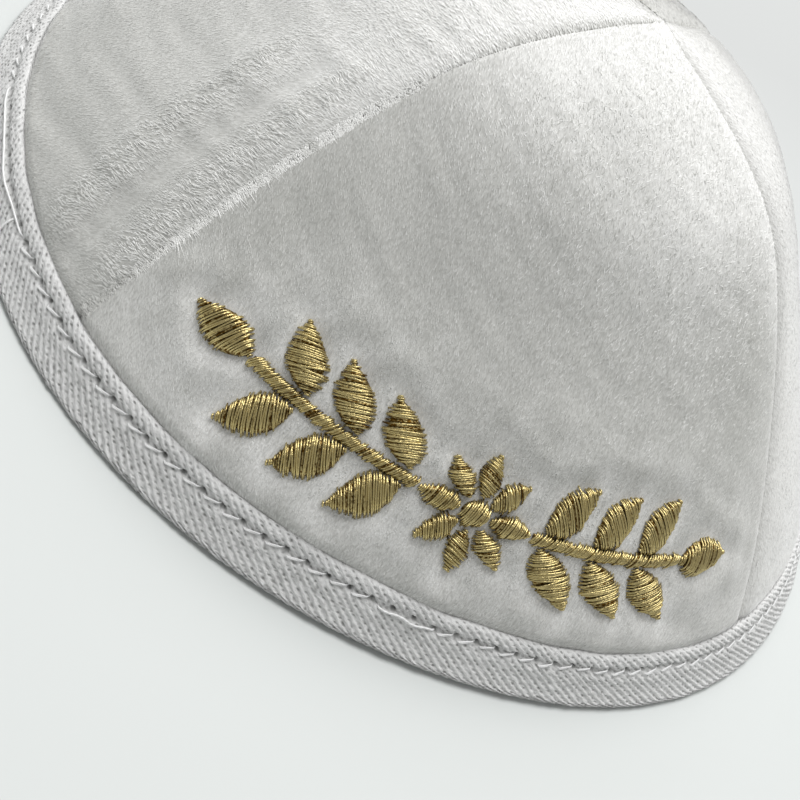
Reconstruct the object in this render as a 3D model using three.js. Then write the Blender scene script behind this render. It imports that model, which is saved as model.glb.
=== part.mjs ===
// A four-gore velvet skullcap, resting on its folded tape edge.
// Millimetres, +Z up, the front towards -Y. The origin is the middle of the rim, on the surface below it.
import * as THREE from 'three';
import { mergeVertices } from 'three/addons/utils/BufferGeometryUtils.js';

// The crown and its cloth
const rimRadius = 82.5;
const crownHeight = 62.2;
const panelWall = 1.6;
const seamGap = 0.3;
const seamDip = 0.8;
const seamRound = 3.2;
const crownSlip = 2.4;

// The tape folded over the edge
const tapeWidth = 7.9;
const tapeSlope = 58.2;
const tapeThickness = 0.9;
const sewnClearance = 0.35;
const hemRise = 1.5;
const tapeFold = 1.3;
const clothRelease = 3;

// The embroidered garland on the front panel
const garlandRise = 15;
const leafLength = 10.4;
const leafWidth = 5.6;
const leafStep = 8.6;
const leafLean = 48;
const leafBelly = 0.44;
const rosetteRadius = 9;
const rosetteHeart = 2.1;
const stemWidth = 1.7;
const threadPile = 0.9;
const threadEdge = 0.4;
const padGap = 0.3;
const stitchGap = 0.45;

// The dents' depth and the puckers' height that the table below shares out
const dentDepth = 1.4;

// The seam's profile above the tape: reach as a share of the tape edge's radius, rise of the crown's height
const seamProfile = [
  { reach: 1, rise: 0 },
  { reach: 0.874, rise: 0.218 },
  { reach: 0.756, rise: 0.39 },
  { reach: 0.656, rise: 0.533 },
  { reach: 0.561, rise: 0.665 },
  { reach: 0.467, rise: 0.785 },
  { reach: 0.359, rise: 0.878 },
  { reach: 0.243, rise: 0.94 },
  { reach: 0.122, rise: 0.982 },
  { reach: 0, rise: 1 },
];

// One row for each seam, counterclockwise from above: its angle, and how far it bows half-way up, in degrees
const seams = [
  { angle: -136.4, bow: -3.1 },
  { angle: -43.6, bow: 12 },
  { angle: 45, bow: 5 },
  { angle: 135, bow: 0 },
];

// One row for each panel: the seams at its two edges
const panels = [
  { name: 'panel_front', from: 0, to: 1 },
  { name: 'panel_right', from: 1, to: 2 },
  { name: 'panel_back', from: 2, to: 3 },
  { name: 'panel_left', from: 3, to: 0 },
];

// Soft dents (depth above 0) and swells (below 0): place and spread across and up the panel as shares of it
const dents = [
  { panel: 'panel_left', across: 0.66, up: 0.3, spreadAcross: 0.13, spreadUp: 0.3, depth: 1 },
  { panel: 'panel_left', across: 0.42, up: 0.34, spreadAcross: 0.12, spreadUp: 0.3, depth: -0.45 },
  { panel: 'panel_front', across: 0.6, up: 0.3, spreadAcross: 0.3, spreadUp: 0.05, depth: -0.4 },
  { panel: 'panel_front', across: 0.5, up: 0.44, spreadAcross: 0.3, spreadUp: 0.14, depth: 0.35 },
  { panel: 'panel_right', across: 0.4, up: 0.4, spreadAcross: 0.2, spreadUp: 0.2, depth: 0.6 },
  { panel: 'panel_back', across: 0.55, up: 0.4, spreadAcross: 0.22, spreadUp: 0.2, depth: 0.5 },
];

// Counts of facets
const tapeSegments = 72;
const panelColumns = 12;
const panelRows = 13;
const padSides = 12;
const stemSteps = 7;
const leafPairs = 3;
const petals = 8;

const velvet = new THREE.MeshStandardMaterial({ color: 0xdcdbd8, roughness: 0.95, metalness: 0 });
const twillTape = new THREE.MeshStandardMaterial({ color: 0xe4e3e1, roughness: 0.85, metalness: 0 });
const goldThread = new THREE.MeshStandardMaterial({ color: 0xa8894a, roughness: 0.45, metalness: 0.25 });

const slope = THREE.MathUtils.degToRad(tapeSlope);
const edgeRadius = rimRadius - tapeWidth * Math.cos(slope);
const edgeHeight = tapeWidth * Math.sin(slope);
const tapeInset = tapeThickness + sewnClearance;
const leafTaper = Math.log(0.5) / Math.log(leafBelly);

// A closed solid from its corners, given as a flat list of three points for each triangle
function solidFrom(corners) {
  const geometry = new THREE.BufferGeometry().setFromPoints(corners);
  const merged = mergeVertices(geometry, 1e-4);
  const old = merged.index.array;
  const kept = [];
  for (let i = 0; i < old.length; i += 3) {
    const [a, b, c] = [old[i], old[i + 1], old[i + 2]];
    if (a !== b && b !== c && c !== a) kept.push(a, b, c);
  }
  merged.setIndex(kept);
  const solid = merged.toNonIndexed();
  solid.computeVertexNormals();
  return solid;
}

// The four corners a, b, c, d of a face, counterclockwise from outside, as two triangles
function quad(corners, a, b, c, d) {
  corners.push(a, b, c, a, c, d);
}

function addMesh(group, name, geometry, material) {
  const mesh = new THREE.Mesh(geometry, material);
  mesh.name = name;
  group.add(mesh);
}

// The meridian of a seam as a smooth curve through the profile's points, in real sizes
const meridian = new THREE.CatmullRomCurve3(
  seamProfile.map((p) => new THREE.Vector3(
    p.reach * edgeRadius,
    0,
    edgeHeight + p.rise * (crownHeight - edgeHeight),
  )),
  false,
  'centripetal',
);
const meridianLength = meridian.getLength();

// Radius, height and outward direction in the meridian's plane, at a length above the tape's upper edge
function meridianAt(length) {
  const share = THREE.MathUtils.clamp(length / meridianLength, 0, 1);
  const point = meridian.getPointAt(share);
  const tangent = meridian.getTangentAt(share);
  return { radius: point.x, height: point.z, outR: tangent.z, outZ: -tangent.x };
}

// The angle of a seam at a point of the meridian, bowed sideways half-way up
function seamAngle(seam, at) {
  const lift = Math.atan2(at.height - edgeHeight, at.radius) / (Math.PI / 2);
  return THREE.MathUtils.degToRad(seam.angle + seam.bow * Math.sin(Math.PI * lift));
}

// How far a panel's dents and swells push its cloth inwards
function dentAt(panelName, across, share) {
  let depth = 0;
  for (const dent of dents) {
    if (dent.panel !== panelName) continue;
    const x = (across - dent.across) / dent.spreadAcross;
    const y = (share - dent.up) / dent.spreadUp;
    depth += dentDepth * dent.depth * Math.exp(-x * x - y * y);
  }
  return depth;
}

// A point at an angle round the axis, with the crown's slip to one side growing towards its top
function turned(radius, height, angle, share) {
  return new THREE.Vector3(
    radius * Math.cos(angle) + crownSlip * share * share,
    radius * Math.sin(angle),
    height,
  );
}

// The angles of a panel's two edges at a point of the meridian, half a seam's gap inside the seams
function panelAngles(panel, at) {
  const from = seamAngle(seams[panel.from], at);
  let to = seamAngle(seams[panel.to], at);
  if (to < from) to += 2 * Math.PI;
  const gap = Math.asin(Math.min(1, seamGap / 2 / Math.max(at.radius, seamGap / 2)));
  const half = Math.min(gap, (to - from) / 2);
  return { first: from + half, last: to - half };
}

// A point of a panel's outer face: across from 0 to 1 between its seams, length above the tape's edge,
// and depth inwards through the cloth. The outer face dips beside each seam and where the tape presses it.
function panelPoint(panel, across, length, depth) {
  const at = meridianAt(length);
  const share = THREE.MathUtils.clamp(length / meridianLength, 0, 1);
  const { first, last } = panelAngles(panel, at);
  const angle = first + (last - first) * across;
  const side = Math.min(across, 1 - across) * (last - first) * at.radius;
  const rounding = Math.max(0, 1 - side / seamRound);
  const dip = seamDip * rounding * rounding * Math.min(1, at.radius / (2 * seamRound));
  const free = Math.min(1, length / clothRelease);
  const dent = free * Math.sin(Math.PI * across) * dentAt(panel.name, across, share);
  const inwards = (depth === 0 ? dip : depth) + tapeInset * (1 - free) + dent;
  return turned(at.radius - at.outR * inwards, at.height - at.outZ * inwards, angle, share);
}

// A point of the panel's hem inside the fold of the tape, parallel to the tape's slope
function hemPoint(panel, across, height, depth) {
  const { first, last } = panelAngles(panel, meridianAt(0));
  const radius = rimRadius - height / Math.tan(slope) - (tapeInset + depth) / Math.sin(slope);
  return turned(radius, height, first + (last - first) * across, 0);
}

// Where the columns stand between the seams: close together where the cloth rounds into the seam
function columnShares() {
  const nearSeam = seamRound / (edgeRadius * Math.PI / 2);
  const shares = [0, nearSeam * 0.45, nearSeam];
  const inner = panelColumns - 4;
  for (let i = 1; i < inner; i += 1) shares.push(nearSeam + (1 - 2 * nearSeam) * (i / inner));
  shares.push(1 - nearSeam, 1 - nearSeam * 0.45, 1);
  return shares;
}

function panelGeometry(panel) {
  const shares = columnShares();
  const tipLength = meridianLength - seamGap * Math.SQRT1_2;
  const rows = [];
  const hemTop = edgeHeight - tapeInset * Math.cos(slope);
  for (const height of [hemRise, (hemRise + hemTop) / 2]) {
    rows.push((depth) => shares.map((across) => hemPoint(panel, across, height, depth)));
  }
  for (let i = 0; i <= panelRows; i += 1) {
    const t = i / panelRows;
    const length = tipLength * t;
    rows.push((depth) => shares.map((across) => panelPoint(panel, across, length, depth)));
  }
  const outer = rows.map((row) => row(0));
  const inner = rows.map((row) => row(panelWall));
  const corners = [];
  const lastRow = rows.length - 1;
  const lastColumn = shares.length - 1;
  for (let j = 0; j < lastRow; j += 1) {
    for (let i = 0; i < lastColumn; i += 1) {
      quad(corners, outer[j][i], outer[j][i + 1], outer[j + 1][i + 1], outer[j + 1][i]);
      quad(corners, inner[j][i], inner[j + 1][i], inner[j + 1][i + 1], inner[j][i + 1]);
    }
    quad(corners, outer[j][0], outer[j + 1][0], inner[j + 1][0], inner[j][0]);
    quad(
      corners,
      outer[j][lastColumn],
      inner[j][lastColumn],
      inner[j + 1][lastColumn],
      outer[j + 1][lastColumn],
    );
  }
  for (let i = 0; i < lastColumn; i += 1) {
    quad(corners, outer[0][i], inner[0][i], inner[0][i + 1], outer[0][i + 1]);
    quad(
      corners,
      outer[lastRow][i],
      outer[lastRow][i + 1],
      inner[lastRow][i + 1],
      inner[lastRow][i],
    );
  }
  return solidFrom(corners);
}

// A point of the tape's section: inwards from its outer face, at a height
function tapePoint(inwards, height) {
  return new THREE.Vector2(rimRadius - height / Math.tan(slope) - inwards / Math.sin(slope), height);
}

// The tape is a ring with a U section that takes the panels' hems between its two legs
function tapeGeometry() {
  const hemOuter = tapeInset - sewnClearance;
  const hemInner = tapeInset + panelWall + sewnClearance;
  const back = hemInner + tapeThickness;
  const soften = tapeThickness * 0.35;
  const legTop = edgeHeight;
  const outline = [
    tapePoint(0, 0).add(new THREE.Vector2(-tapeFold, 0)),
    tapePoint(0, tapeFold * 0.2).add(new THREE.Vector2(-tapeFold * 0.35, 0)),
    tapePoint(0, tapeFold * 0.85),
    tapePoint(0, legTop - soften),
    tapePoint(soften, legTop),
    tapePoint(hemOuter, legTop - tapeThickness * 0.5),
    tapePoint(hemOuter, tapeThickness),
    tapePoint(hemInner, tapeThickness),
    tapePoint(hemInner, legTop - tapeThickness * 1.5),
    tapePoint(back - soften, legTop - tapeThickness * 1.5),
    tapePoint(back, legTop - tapeThickness * 2),
    tapePoint(back, tapeFold * 0.6),
    tapePoint(back, 0).add(new THREE.Vector2(tapeFold * 0.5, 0)),
  ];
  outline.push(outline[0].clone());
  const lathe = new THREE.LatheGeometry(outline, tapeSegments);
  lathe.rotateX(Math.PI / 2);
  lathe.deleteAttribute('uv');
  lathe.deleteAttribute('normal');
  return solidFrom(listCorners(lathe));
}

function listCorners(geometry) {
  const plain = geometry.toNonIndexed();
  const position = plain.getAttribute('position');
  const corners = [];
  for (let i = 0; i < position.count; i += 1) {
    corners.push(new THREE.Vector3().fromBufferAttribute(position, i));
  }
  return corners;
}

// A point over the front panel: along it from its middle, above the tape's edge, and lifted off the cloth
function garlandPoint(along, rise, lift) {
  const front = panels[0];
  const bandRadius = meridianAt(garlandRise).radius;
  const at = meridianAt(rise);
  const first = seamAngle(seams[front.from], at);
  const last = seamAngle(seams[front.to], at);
  const middle = THREE.MathUtils.degToRad((seams[front.from].angle + seams[front.to].angle) / 2);
  const across = (middle + along / bandRadius - first) / (last - first);
  return panelPoint(front, across, rise, 0).add(
    new THREE.Vector3(
      Math.cos(middle + along / bandRadius) * at.outR,
      Math.sin(middle + along / bandRadius) * at.outR,
      at.outZ,
    ).multiplyScalar(lift),
  );
}

// A satin-stitch pad: a pointed leaf from its root to its tip, domed across, its flat back on the cloth
function leafGeometry(root, direction, length, width) {
  const along = new THREE.Vector2(Math.cos(direction), Math.sin(direction));
  const aside = new THREE.Vector2(-along.y, along.x);
  const place = (a, b, lift) => {
    const spot = root.clone().addScaledVector(along, a).addScaledVector(aside, b);
    return garlandPoint(spot.x, garlandRise + spot.y, lift);
  };
  const halfSides = padSides / 2;
  const edge = [];
  for (let i = 0; i < padSides; i += 1) {
    const t = i < halfSides ? i / halfSides : 1 - (i - halfSides) / halfSides;
    const side = i < halfSides ? -1 : 1;
    edge.push([length * t, side * (width / 2) * Math.sin(Math.PI * t ** leafTaper)]);
  }
  const ring = (shrink, lift) => edge.map(([a, b]) => place(
    length / 2 + (a - length / 2) * shrink,
    b * shrink,
    lift,
  ));
  return domedPad(
    [ring(1, padGap), ring(1, padGap + threadEdge), ring(0.55, padGap + threadPile * 0.9)],
    place(length / 2, 0, padGap + threadPile),
    place(length / 2, 0, padGap),
  );
}

// Rings of points stacked outwards, closed by a crown point over them and a base point under them
function domedPad(rings, crown, base) {
  const corners = [];
  const count = rings[0].length;
  for (let i = 0; i < count; i += 1) {
    const next = (i + 1) % count;
    corners.push(base, rings[0][next], rings[0][i]);
    for (let k = 0; k < rings.length - 1; k += 1) {
      quad(corners, rings[k][i], rings[k][next], rings[k + 1][next], rings[k + 1][i]);
    }
    const top = rings[rings.length - 1];
    corners.push(top[i], top[next], crown);
  }
  return solidFrom(corners);
}

// The rosette's round heart
function heartGeometry() {
  const ring = (radius, lift) => Array.from({ length: petals }, (_, i) => {
    const turn = (2 * Math.PI * (i + 0.5)) / petals;
    return garlandPoint(radius * Math.cos(turn), garlandRise + radius * Math.sin(turn), lift);
  });
  return domedPad(
    [
      ring(rosetteHeart, padGap),
      ring(rosetteHeart, padGap + threadEdge),
      ring(rosetteHeart * 0.6, padGap + threadPile),
    ],
    garlandPoint(0, garlandRise, padGap + threadPile),
    garlandPoint(0, garlandRise, padGap),
  );
}

// A stem: a narrow satin line along the garland, from the rosette to the last leaf
function stemGeometry(start, end) {
  const section = [
    [-stemWidth / 2, padGap],
    [stemWidth / 2, padGap],
    [stemWidth / 2, padGap + threadEdge],
    [0, padGap + threadPile * 0.8],
    [-stemWidth / 2, padGap + threadEdge],
  ];
  const rings = [];
  for (let i = 0; i <= stemSteps; i += 1) {
    const along = start + ((end - start) * i) / stemSteps;
    rings.push(section.map(([rise, lift]) => garlandPoint(along, garlandRise + rise, lift)));
  }
  const corners = [];
  const count = section.length;
  for (let i = 0; i < stemSteps; i += 1) {
    for (let k = 0; k < count; k += 1) {
      const next = (k + 1) % count;
      quad(corners, rings[i][k], rings[i][next], rings[i + 1][next], rings[i + 1][k]);
    }
  }
  for (let k = 1; k < count - 1; k += 1) {
    corners.push(rings[0][0], rings[0][k + 1], rings[0][k]);
    corners.push(rings[stemSteps][0], rings[stemSteps][k], rings[stemSteps][k + 1]);
  }
  return solidFrom(corners);
}

// The garland: a rosette in the middle, and to each side a stem with pairs of leaves and one at its tip
function addGarland(group) {
  const petalRoot = rosetteHeart + stitchGap;
  const petalLength = rosetteRadius - petalRoot;
  const widestRadius = petalRoot + petalLength * leafBelly;
  const petalWidth = 2 * widestRadius * Math.sin(Math.PI / petals) - 1.5 * stitchGap;
  for (let i = 0; i < petals; i += 1) {
    const turn = (2 * Math.PI * i) / petals;
    const root = new THREE.Vector2(Math.cos(turn), Math.sin(turn)).multiplyScalar(petalRoot);
    const petal = leafGeometry(root, turn, petalLength, petalWidth);
    addMesh(group, `rosette_petal_${i + 1}`, petal, goldThread);
  }
  addMesh(group, 'rosette_heart', heartGeometry(), goldThread);
  const stemStart = rosetteRadius + stitchGap;
  const firstPair = stemStart + stemWidth;
  const stemEnd = firstPair + leafPairs * leafStep;
  for (const [sideName, side] of [['left', -1], ['right', 1]]) {
    const [from, to] = side > 0 ? [stemStart, stemEnd] : [-stemEnd, -stemStart];
    addMesh(group, `stem_${sideName}`, stemGeometry(from, to), goldThread);
    const lean = THREE.MathUtils.degToRad(leafLean);
    for (let pair = 0; pair < leafPairs; pair += 1) {
      for (const [levelName, level] of [['lower', -1], ['upper', 1]]) {
        const root = new THREE.Vector2(
          side * (firstPair + pair * leafStep),
          level * (stemWidth / 2 + stitchGap),
        );
        const direction = side > 0 ? level * lean : Math.PI - level * lean;
        const leaf = leafGeometry(root, direction, leafLength, leafWidth);
        addMesh(group, `leaf_${sideName}_${levelName}_${pair + 1}`, leaf, goldThread);
      }
    }
    const tipRoot = new THREE.Vector2(side * (stemEnd + stitchGap), 0);
    const tipLeaf = leafGeometry(tipRoot, side > 0 ? 0 : Math.PI, leafLength, leafWidth);
    addMesh(group, `leaf_${sideName}_tip`, tipLeaf, goldThread);
  }
}

const skullcap = new THREE.Group();
for (const panel of panels) addMesh(skullcap, panel.name, panelGeometry(panel), velvet);
addMesh(skullcap, 'rim_tape', tapeGeometry(), twillTape);
addGarland(skullcap);

export default skullcap;
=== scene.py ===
"""A four-gore velvet skullcap with a folded twill tape edge and a gold satin-stitch garland.

Shapes are worked out in millimetres, in the frame's own axes, and become metres where a mesh is made.
"""
import math

import bpy
import numpy as np
from mathutils import Matrix, Vector


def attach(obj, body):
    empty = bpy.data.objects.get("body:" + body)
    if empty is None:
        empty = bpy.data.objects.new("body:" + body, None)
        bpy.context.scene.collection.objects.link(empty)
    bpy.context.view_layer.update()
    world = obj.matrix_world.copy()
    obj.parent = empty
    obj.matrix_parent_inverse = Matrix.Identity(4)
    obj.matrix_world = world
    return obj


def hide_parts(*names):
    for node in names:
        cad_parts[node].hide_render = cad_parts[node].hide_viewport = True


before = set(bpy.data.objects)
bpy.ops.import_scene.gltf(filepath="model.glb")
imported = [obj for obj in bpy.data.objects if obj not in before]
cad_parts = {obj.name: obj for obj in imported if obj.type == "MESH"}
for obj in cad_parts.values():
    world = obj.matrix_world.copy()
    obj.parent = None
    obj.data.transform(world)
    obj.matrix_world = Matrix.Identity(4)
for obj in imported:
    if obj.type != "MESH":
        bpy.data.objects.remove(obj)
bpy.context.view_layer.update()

MM = 0.001

# The crown and its cloth, as in the frame
RIM_RADIUS = 82.5
CROWN_HEIGHT = 62.2
PANEL_WALL = 1.6
CROWN_SLIP = 2.4
TAPE_WIDTH = 7.9
TAPE_SLOPE = math.radians(58.2)
TAPE_THICKNESS = 0.9
SEWN_CLEARANCE = 0.35
HEM_RISE = 1.5
DENT_DEPTH = 1.4

# The cloth's slow unevenness: depth, wavelength and seed; and how far from a seam it is full
SAGS = ((0.14, 21, 5), (0.06, 9, 6))
SAG_FREE = 6

# The seams as they look: closed, with the velvet rolled down into each by its own depth, over its own width
SEAM_GAP = 0.06
SEAM_DIPS = (0.4, 1.4, 1.1, 1.1)
SEAM_ROUNDS = (1.7, 3.6, 2.8, 2.8)
CLOTH_RELEASE = 1.7
EDGE_PRESS = 0.7

# Reach as a share of the tape edge's radius, and rise of the crown's height above it
SEAM_PROFILE = (
    (1, 0), (0.874, 0.218), (0.756, 0.39), (0.656, 0.533), (0.561, 0.665),
    (0.467, 0.785), (0.359, 0.878), (0.243, 0.94), (0.122, 0.982), (0, 1),
)

# Each seam's angle and its bow half-way up, in degrees
SEAMS = ((-136.4, -3.1), (-43.6, 12), (45, 5), (135, 0))

# How far the rim stands out at the seams, how far it lifts between them, and where
RIM_SPREAD = 0.9
RIM_LIFT = 0.45
RIM_TURN = math.radians(-133)
RIM_FRONT = math.radians(-95)

# Each panel: its seams, its points across and up, a seed and a painted shade for how the light and the nap's
# sheen land on it; its tufts, the nap's angle from straight up in degrees and its turn upwards; how silky and
# grainy smooth tufts are; and how much ruffled tufts curl, lengthen, take painted light and fleck
PANELS = {
    "front": dict(
        seams=(0, 1), grid=(140, 130), seed=11, shade=0.24, tufts=36000, nap=0, twist=0,
        silk=0, grain=0.09, curl=0.45, brush=0.1, ruffle_painted_light=0.2, fleck=0.5,
    ),
    "right": dict(
        seams=(1, 2), grid=(100, 84), seed=12, shade=0.66, tufts=18000, nap=10, twist=0,
        silk=0.5, grain=0.05, curl=0.2, brush=-0.15, ruffle_painted_light=0.3, fleck=0.15,
    ),
    "back": dict(
        seams=(2, 3), grid=(90, 76), seed=13, shade=0.4, tufts=14000, nap=0, twist=0,
        silk=0.3, grain=0.05, curl=0.2, brush=-0.15, ruffle_painted_light=0.3, fleck=0.2,
    ),
    "left": dict(
        seams=(3, 0), grid=(120, 104), seed=14, shade=0.31, tufts=46000, nap=25, twist=1.4,
        silk=1, grain=0.03, curl=0, brush=0.7, ruffle_painted_light=0.5, fleck=0.15,
    ),
}

# Soft dents and swells: place and spread across and up the panel as shares, and share of the dent's depth
DENTS = {
    "left": (
        (0.66, 0.3, 0.13, 0.3, 0.5), (0.42, 0.34, 0.12, 0.3, -0.2),
    ),
    "front": (
        (0.6, 0.3, 0.3, 0.05, -0.4), (0.5, 0.44, 0.3, 0.14, 0.35),
    ),
    "right": (
        (0.4, 0.4, 0.2, 0.2, 0.6),
    ),
    "back": (
        (0.55, 0.4, 0.22, 0.2, 0.5),
    ),
}

# Where the pile is ruffled instead of smooth: place and spread as shares, and strength
RUFFLES = {
    "left": (
        (0.82, 0.62, 0.2, 0.2, 0.6),
    ),
    "front": (
        (0.78, 0.6, 0.36, 0.24, 0.85), (0.25, 0.68, 0.3, 0.14, 0.5), (0.5, 0.9, 0.6, 0.16, 0.7),
    ),
    "right": (
        (0.08, 0.3, 0.1, 0.4, 0.5),
    ),
    "back": (
        (0.5, 0.4, 0.3, 0.3, 0.4),
    ),
}

# Brushed ridges and the hollow between them: from (across, up) to (across, up), width as a share, ruffle and
# rise; and the columns of the last two
RIDGES = {
    "left": (
        (0.88, 0.03, 0.76, 0.42, 0.036, 1.0, 0.5), (0.99, 0.05, 0.9, 0.5, 0.036, 1.0, 0.35),
        (0.93, 0.02, 0.85, 0.45, 0.022, -0.7, -0.45),
    ),
}
RIDGE_RUFFLE = 5
RIDGE_RISE = 6

# Patches of painted light and shade, for how the light and the nap's sheen land on the cloth: place and
# spread as shares, and change of shade
PAINTED_LIGHT_PATCHES = {
    "front": (
        (0.5, 1.0, 0.8, 0.3, 0.62), (0.985, 0.72, 0.08, 0.36, 0.85), (0.12, 0.76, 0.25, 0.16, 0.4),
        (0.66, 0.62, 0.22, 0.12, 0.42), (0.78, 0.74, 0.16, 0.14, 0.25),
        (0.5, 0.04, 0.8, 0.07, 0.25), (0.1, 0.12, 0.14, 0.2, 0.18), (0.6, 0.95, 0.35, 0.14, 0.25),
        (0.95, 0.42, 0.12, 0.15, -0.4), (0.06, 0.25, 0.06, 0.14, -0.2),
    ),
    "left": (
        (0.75, 0.8, 0.4, 0.4, 0.75), (0.9, 0.56, 0.12, 0.14, 0.55), (1.0, 0.85, 0.09, 0.25, -0.5),
    ),
    "right": (
        (0.5, 0.3, 0.4, 0.4, 0.35), (0.2, 0.8, 0.5, 0.35, 0.35),
    ),
}

# The front's cloth: a halo round the stitches, where the pressed nap is paler and painted light is added;
# painted light and shade in crumples; and blotches of tone
PAINTED_HALO_LIGHT = 0.42
PAINTED_HALO_REACH = 2.6
PAINTED_CRUMPLE_SHADE = 0.15
CRUMPLE_REACH = 9
BLOTCH_SHADE = 0.11

# The stitches' pull on the cloth, the swell that stands round it, and the puckers
PULL_DEPTH = 0.35
PULL_REACH = 1.8
SWELL_HEIGHT = 0.22
SWELL_DISTANCE = 4.5
SWELL_SPREAD = 2.2
PUCKER_DEPTH = 0.08
PUCKER_REACH = 7

# The tufts: how far they lie off the cloth and start below it, and keep from the stitches, which crush them
TUFT_LIFT = 0.02
TUFT_ROOT = 0.03
TUFT_CLEAR = 0.3
CRUSHED_REACH = 5

# A tuft's reach, half width, shoulder, keel and angle in degrees, and what silk or ruffling adds
TUFT_REACH = 0.65
TUFT_SPREAD = 0.12
TUFT_WIDTH = 0.1
TUFT_WIDER = 0.05
TUFT_SHOULDER = 0.1
TUFT_KEEL = 0.005
TUFT_RISE = 4
TUFT_WANDER = 0.13
SILK_REACH = 0.25
SILK_SHOULDER = 0.35
SILK_LOWER = 2.5
RUFFLED_KEEL = 0.02
RUFFLED_NARROWER = 0.02
RUFFLED_RISE = 0.1
RUFFLED_TURN = 0.25
RUFFLED_SWAY = 0.07
RUFFLED_SPREAD = 0.07
RISE_SPREAD = 0.01
TWIST_START = 0.35
NAP_SWAY = 0.07
NAP_RADIUS = 60

# The fringe over the front's left seam: its fibres, the shares up between which they stand, their shape
# and their painted light
FRINGE_FIBRES = 3600
FRINGE_START = 0.01
FRINGE_END = 0.57
FRINGE_HALF_WIDTH = 0.9
FRINGE_LIFT = 0.05
FRINGE_TURN = 97
FRINGE_RISE = 0.14
FRINGE_REACH = 0.4
FRINGE_LONGER = 1.3
FRINGE_SPREAD = 0.18
FRINGE_WIDTH = 0.06
FRINGE_KEEL = 0.045
FRINGE_PAINTED_LIGHT = 0.35

# The garland, as in the frame
GARLAND_RISE = 15
LEAF_LENGTH = 10.4
LEAF_WIDTH = 5.6
LEAF_STEP = 8.6
LEAF_LEAN = math.radians(48)
LEAF_BELLY = 0.44
ROSETTE_RADIUS = 9
ROSETTE_HEART = 2.1
STEM_WIDTH = 1.7
STITCH_GAP = 0.45
LEAF_PAIRS = 3
PETALS = 8

# The satin's height over the cloth and how far its ends sink in; and its pad's inset, cover, edge and base
THREAD_PILE = 0.9
THREAD_SINK = 0.28
PAD_INSET = 0.25
PAD_COVER = 0.3
PAD_EDGE = 0.1
PAD_UNDERSIDE = 0.25

# The satin threads: pitch, radius, slants, how far they pass the pad's outline, and their unevenness
SATIN_PITCH = 0.33
SATIN_RADIUS = 0.165
SATIN_FLATTEN = 0.85
SATIN_SLANT = 0.32
STEM_SLANT = 0.7
SATIN_OVERLAP = 0.12
SATIN_RAGGED = 0.14
SATIN_STRAY = 0.04
SATIN_TILT = 0.05
SATIN_BEND = 0.06
SATIN_BOUNCE = 0.035

# The tape's lockstitches: pitch, radius, drop below the tape's edge, length in stitches, and how they lie
LOCKSTITCH_PITCH = 3.4
LOCKSTITCH_RADIUS = 0.13
LOCKSTITCH_DROP = 2.1
LOCKSTITCH_SPAN = 0.74
LOCKSTITCH_START = 0.14
LOCKSTITCH_SLANT = (0.4, -0.28)
LOCKSTITCH_ASKEW = 0.06
THREAD_SIDES = 5
THREAD_LIFT = 0.3
THREAD_DIVE = 0.35

# Where a stitch skips some needle holes, from and to these angles in degrees, and where a thread end lies
LONG_STITCHES = ((-170.4, -147.8), (-94.6, -88.2))
THREAD_END_AT = -150.3
THREAD_END_SPAN = 1.6
THREAD_END_DROPS = (2.5, 6.6)

# The tape's twill and its relief: lip, stitched valley, bank below it, belly and needle holes
RIBS = 330
RIB_COLUMNS = 5
RIB_HEIGHT = 0.2
RIB_LEAN = 1.95
RIB_UNEVEN = 0.03
GRAIN_UNEVEN = 0.035
PIT_PITCH = 0.4
LIP_HEIGHT = 0.22
LIP_DROP = 0.9
LIP_SPREAD = 0.75
VALLEY_DEPTH = 0.2
VALLEY_SPREAD = 0.5
BANK_HEIGHT = 0.12
BANK_DROP = 3.3
BANK_SPREAD = 0.8
TAPE_BELLY = 0.9
HOLE_DEPTH = 0.75
HOLE_ABOVE = 0.1
HOLE_SPREAD = (0.42, 0.34)

# How the tape's edge wavers: size, waves round the rim and where they start
WOBBLES = ((0.12, 7, 1), (0.09, 17, 0), (0.07, 31, 2), (0.07, 53, 4))

# Colours of the velvet at the ends of its shade, which holds painted light and shade, and of the gold thread
VELVET_DARK = (0.58, 0.581, 0.55)
VELVET_LIGHT = (0.99, 0.988, 0.968)
GOLD_DARK = (0.1, 0.046, 0.0)
GOLD_LIGHT = (0.62, 0.51, 0.235)
WHITE = (1, 1, 1)

# The floor, and the window that lights it: its place, aim, size and power, and the even surround
FLOOR_HALF = 900
FLOOR_THICKNESS = 8
FLOOR_GAP = 0.01
WINDOW_PLACE = (120, 600, 1320)
WINDOW_AIM = (0, 0, 20)
WINDOW_SIZE = 1400
WINDOW_POWER = 30
SURROUND_STRENGTH = 0.31

# The camera: where it looks, from where, and its tilt and lens, from the photograph's outline
CAMERA_TARGET = (-4.6, -34.4, 0.9)
CAMERA_AZIMUTH = math.radians(-23.24)
CAMERA_ELEVATION = math.radians(39.24)
CAMERA_DISTANCE = 224.6
CAMERA_ROLL = math.radians(40.95)
CAMERA_FOCAL_PX = 1411.8
IMAGE_PX = 800
SENSOR_MM = 36

EDGE_RADIUS = RIM_RADIUS - TAPE_WIDTH * math.cos(TAPE_SLOPE)
EDGE_HEIGHT = TAPE_WIDTH * math.sin(TAPE_SLOPE)
TAPE_INSET = TAPE_THICKNESS + SEWN_CLEARANCE
STITCH_COUNT = round(2 * math.pi * (EDGE_RADIUS + 1) / LOCKSTITCH_PITCH)


def smooth_step(x):
    """3x^2 - 2x^3 between 0 and 1, and flat outside."""
    x = np.clip(x, 0, 1)
    return x * x * (3 - 2 * x)


def bell(x):
    """The bell curve exp(-x^2)."""
    return np.exp(-x ** 2)


def unit(vectors):
    """Vectors divided by their lengths."""
    return vectors / np.maximum(np.linalg.norm(vectors, axis=-1, keepdims=True), 1e-9)


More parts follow.
